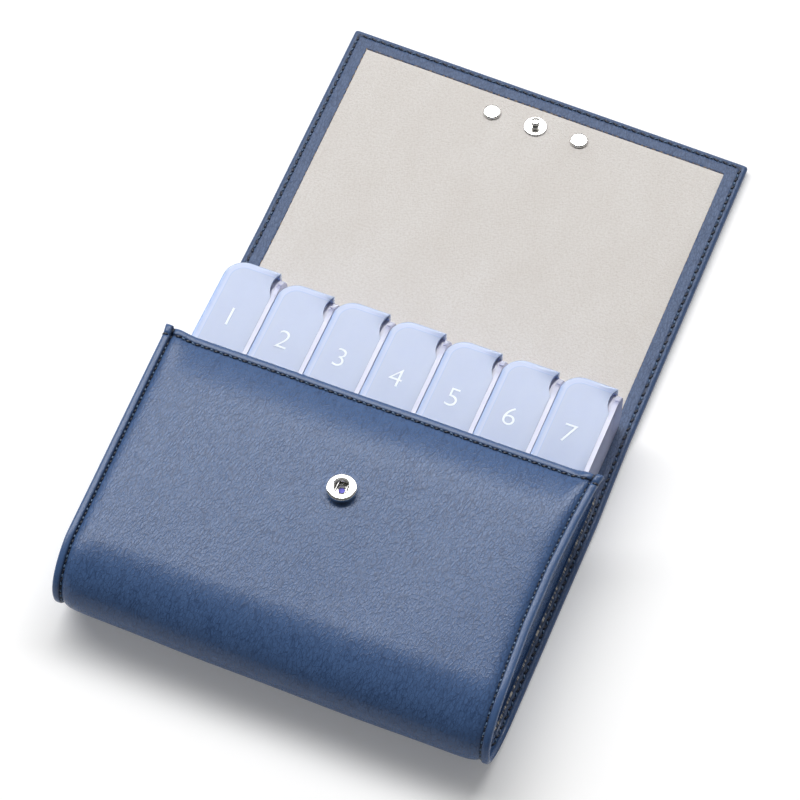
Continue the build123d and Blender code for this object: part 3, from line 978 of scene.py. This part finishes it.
def cover_sheet(day):
    """Sheet bent over the front, the left side and the top end. Three lines run up the left, round a
    quarter circle and along the top to the thumb notch, a circle's bite: the outer one, one a band
    further in and one at the face. Walls drop from the outer line. The bends are rounded, less along
    the side than round the top end, the sheet is thickened inwards and its rims are eased."""
    low, high = cad_box(f"cover_{day}")
    low[0] -= side_fill
    right, top = high[0] - rail_reach + face_fill, high[1]
    inset = np.array([0.0, rim_band, rim_band + rim_line])
    turn = np.linspace(0, np.pi / 2, 13)
    start = np.stack([low[0] + inset, np.full(3, low[1])], -1)[:, None]
    arc = np.array([low[0], top]) + np.array([1, -1]) * cover_corner
    arc = arc + (cover_corner - inset)[:, None, None] * np.stack([-np.cos(turn), np.sin(turn)], -1)
    lines = np.concatenate([start, arc], 1)
    meets = np.arcsin((notch_middle - inset) / notch_radius)
    last = -np.arccos((notch_radius - notch_bite) / notch_radius)
    sweep = np.sort(np.concatenate([meets, np.linspace(meets[0], last, 14)[1:]]))[::-1]
    meet = np.searchsorted(-sweep, -meets)
    bite = np.array([right - notch_bite + notch_radius, top - notch_middle])
    bite = bite + notch_radius * np.stack([-np.cos(sweep), np.sin(sweep)], -1)
    count = lines.shape[1]
    first = 3 * count
    corner = first + len(bite)
    plan = np.concatenate([lines.reshape(-1, 2), bite, [[right, low[1]]]])
    foot = np.concatenate([lines[0], bite[:1]])
    points = np.concatenate([
        np.column_stack([plan, np.full(len(plan), high[2])]),
        np.column_stack([foot, np.full(len(foot), low[2])]),
    ])
    j = np.arange(count - 1)
    faces = []
    for k in (0, count):
        faces += np.stack([k + j, k + count + j, k + count + j + 1, k + j + 1], -1).tolist()
    for k in (0, 1):
        between = first + np.arange(meet[k + 1], meet[k] - 1, -1)
        faces.append([(k + 1) * count - 1, (k + 2) * count - 1] + between.tolist())
    face = np.concatenate([2 * count + np.arange(count), np.arange(first + meet[2], corner + 1)])
    faces.append(face[::-1].tolist())
    edge = np.append(np.arange(count), first)
    below = corner + 1 + np.arange(count + 1)
    faces += np.stack([edge[:-1], edge[1:], below[1:], below[:-1]], -1).tolist()
    # Rim mark: painted light on the paler band, painted shade along its inner line.
    shares = [1.0, 0.6, 0.0]
    along_bite = np.interp(np.arange(len(bite)), meet, shares)
    rim = np.concatenate([np.repeat(shares, count), along_bite, [0.0], np.ones(count + 1)])
    # Painted shade down the left side, fading round the top corner.
    fade = np.append(1.0, np.clip(1 - turn / 1.1, 0, 1) ** 1.5)
    flank = np.concatenate([fade, 0.3 * fade, np.zeros(count + len(bite) + 1), fade, [0.0]])
    piece = make_piece(f"cover_shell_{day}", points, faces, None, {"rim": rim, "flank": flank})
    pair = np.zeros(len(piece.data.edges) * 2, np.int32)
    piece.data.edges.foreach_get("vertices", pair)
    pair = np.sort(pair.reshape(-1, 2), 1)
    bent = (pair[:, 1] < count) | ((pair[:, 0] == count - 1) & (pair[:, 1] == first))
    share = side_bend + (1 - side_bend) * np.clip((pair[:, 0] - 1) / len(turn), 0, 1)
    layer = piece.data.attributes.new("bevel_weight_edge", "FLOAT", "EDGE")
    layer.data.foreach_set("value", (bent * share).astype(np.float32))
    bend = piece.modifiers.new("bends", "BEVEL")
    bend.width, bend.segments, bend.limit_method = cover_round * MM, 6, "WEIGHT"
    body = piece.modifiers.new("wall", "SOLIDIFY")
    body.thickness, body.offset, body.use_even_offset = cover_thick * MM, -1.0, True
    ease = piece.modifiers.new("rims", "BEVEL")
    ease.width, ease.segments, ease.limit_method, ease.angle_limit = rim_ease * MM, 3, "ANGLE", math.radians(60)
    dress(piece, milky_blue)
    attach(piece, f"day_cover_{day}")
    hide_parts(f"cover_{day}")


for day in range(1, day_count + 1):
    refinish(f"tray_{day}", clear_styrene)
    cover_sheet(day)


# ---------------------------------------------------------------------------
# Day numbers. White ink, pad-printed on each cover a little below its top end: the
# plain digits from 1 to 7.

digit_height = 7.2
digit_drop = 23.0
digit_left = 0.8
digit_thinner = 0.014
ink_thick = 0.06


def ink_finish():
    """White ink: nearly opaque, with a faint unevenness in colour and gloss."""
    finish, tree, shader = new_finish("white_ink")
    cloud = noise(tree, in_space(tree), 700.0)
    tint = tinted(tree, cloud, (0.74, 0.82, 0.92), (0.82, 0.88, 0.95))
    feed(tree, shader, Base_Color=tint, Roughness=ranged(tree, cloud, start=0.3, end=0.45))
    return finish


white_ink = ink_finish()


def printed_digit(day):
    """Flat digit: the outline of a plain sans figure, filled, made a mesh, scaled to its height and
    laid on the middle of the cover's face."""
    curve = bpy.data.curves.new(f"digit_{day}", "FONT")
    curve.body = str(day)
    curve.extrude = 0.02
    curve.offset = -digit_thinner
    shape = put(f"digit_{day}_outline", curve)
    bpy.context.view_layer.update()
    mesh = bpy.data.meshes.new_from_object(shape.evaluated_get(bpy.context.evaluated_depsgraph_get()))
    bpy.data.objects.remove(shape)
    points = np.zeros(len(mesh.vertices) * 3, np.float32)
    mesh.vertices.foreach_get("co", points)
    points = points.reshape(-1, 3).astype(float)
    low, high = points.min(0), points.max(0)
    scale = digit_height / (high[1] - low[1])
    cover_low, cover_high = cad_box(f"cover_{day}")
    middle = np.array([(cover_low[0] + cover_high[0]) / 2 - digit_left, cover_high[1] - digit_drop])
    placed = np.empty_like(points)
    placed[:, :2] = (points[:, :2] - (low[:2] + high[:2]) / 2) * scale + middle
    placed[:, 2] = cover_high[2] + ink_thick * np.where(points[:, 2] > 0, 1.0, -0.4)
    mesh.vertices.foreach_set("co", (placed * MM).astype(np.float32).ravel())
    mesh.update()
    mesh.materials.clear()
    piece = dress(put(f"printed_digit_{day}", mesh), white_ink)
    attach(piece, f"day_cover_{day}")


for day in range(1, day_count + 1):
    printed_digit(day)


# ---------------------------------------------------------------------------
# Table, light and camera. White table under the case, one large soft box behind and above
# it in a room that is darker to the front, and a long lens over the right front corner.

table_half = 4
table_z = -0.0003
table_lift = 0.16


def table_finish():
    """White board, a little uneven. Seen by the camera, or in a mirror or through plastic, it is lifted
    to plain white; the light that it throws back stays as it is."""
    finish, tree, shader = new_finish("white_table")
    tint = tinted(tree, noise(tree, in_space(tree), 3.0), (0.87, 0.87, 0.87), (0.88, 0.88, 0.88))
    rays = node(tree, "ShaderNodeLightPath").outputs
    seen = maths(tree, "MAXIMUM", rays["Is Camera Ray"], rays["Is Glossy Ray"])
    seen = maths(tree, "MAXIMUM", seen, rays["Is Transmission Ray"])
    lift = maths(tree, "MULTIPLY", seen, table_lift)
    feed(tree, shader, Base_Color=tint, Roughness=0.9, Specular_IOR_Level=0.0)
    feed(tree, shader, Emission_Color=(1, 1, 1, 1), Emission_Strength=lift)
    return finish


table_mesh = bpy.data.meshes.new("table_top")
table_corners = [(x * table_half, y * table_half, table_z) for x, y in ((-1, -1), (1, -1), (1, 1), (-1, 1))]
table_mesh.from_pydata(table_corners, [], [(0, 1, 2, 3)])
table_mesh.materials.append(table_finish())
table_top = put("table_top", table_mesh)

world = bpy.data.worlds.new("white_room")
bpy.context.scene.world = world
world.use_nodes = True
sky = world.node_tree
toward = node(sky, "ShaderNodeTexCoord").outputs["Generated"]
rise = node(sky, "ShaderNodeVectorMath", operation_="DOT_PRODUCT", i0=toward, i1=(-0.1, 0.8, 0.6)).outputs["Value"]
glow = ranged(sky, rise, 0.1, 0.95, 0.09, 0.3, "SMOOTHSTEP")
sides = node(sky, "ShaderNodeSeparateXYZ", i0=toward).outputs
behind = ranged(sky, sides[1], 0.3, 0.85, 0.0, 0.2, "SMOOTHSTEP")
height = maths(sky, "SUBTRACT", sides[2], behind)
skyline = ranged(sky, height, 0.03, 0.22, 1.0, 0.0, "SMOOTHSTEP")
feed(sky, sky.nodes["Background"], Color=(1, 1, 1, 1), Strength=mixed(sky, skyline, glow, 1.0))

lamp = bpy.data.lights.new("back_soft_box", "AREA")
lamp.shape = "RECTANGLE"
lamp.size, lamp.size_y, lamp.energy = 4.4, 0.84, 102.0
lamp_place, lamp_aim = Vector((-1.1, 1.1, 2.18)), Vector((-0.6, -0.05, 0))
soft_box = put("back_soft_box", lamp)
soft_box.location = lamp_place
soft_box.rotation_euler = (lamp_aim - lamp_place).to_track_quat("-Z", "Y").to_euler()

camera = bpy.data.cameras.new("camera")
camera.sensor_width, camera.lens = 36.0, 149.6
camera.clip_start, camera.clip_end = 0.05, 20
camera_turn, camera_rise = 22.24, 58.56
viewer = put("camera", camera)
viewer.location = (0.22632, -0.56697, 0.98746)
viewer.rotation_euler = (math.radians(90 - camera_rise), 0, math.radians(camera_turn))
bpy.context.scene.camera = viewer
bpy.context.scene.view_settings.view_transform = "Standard"
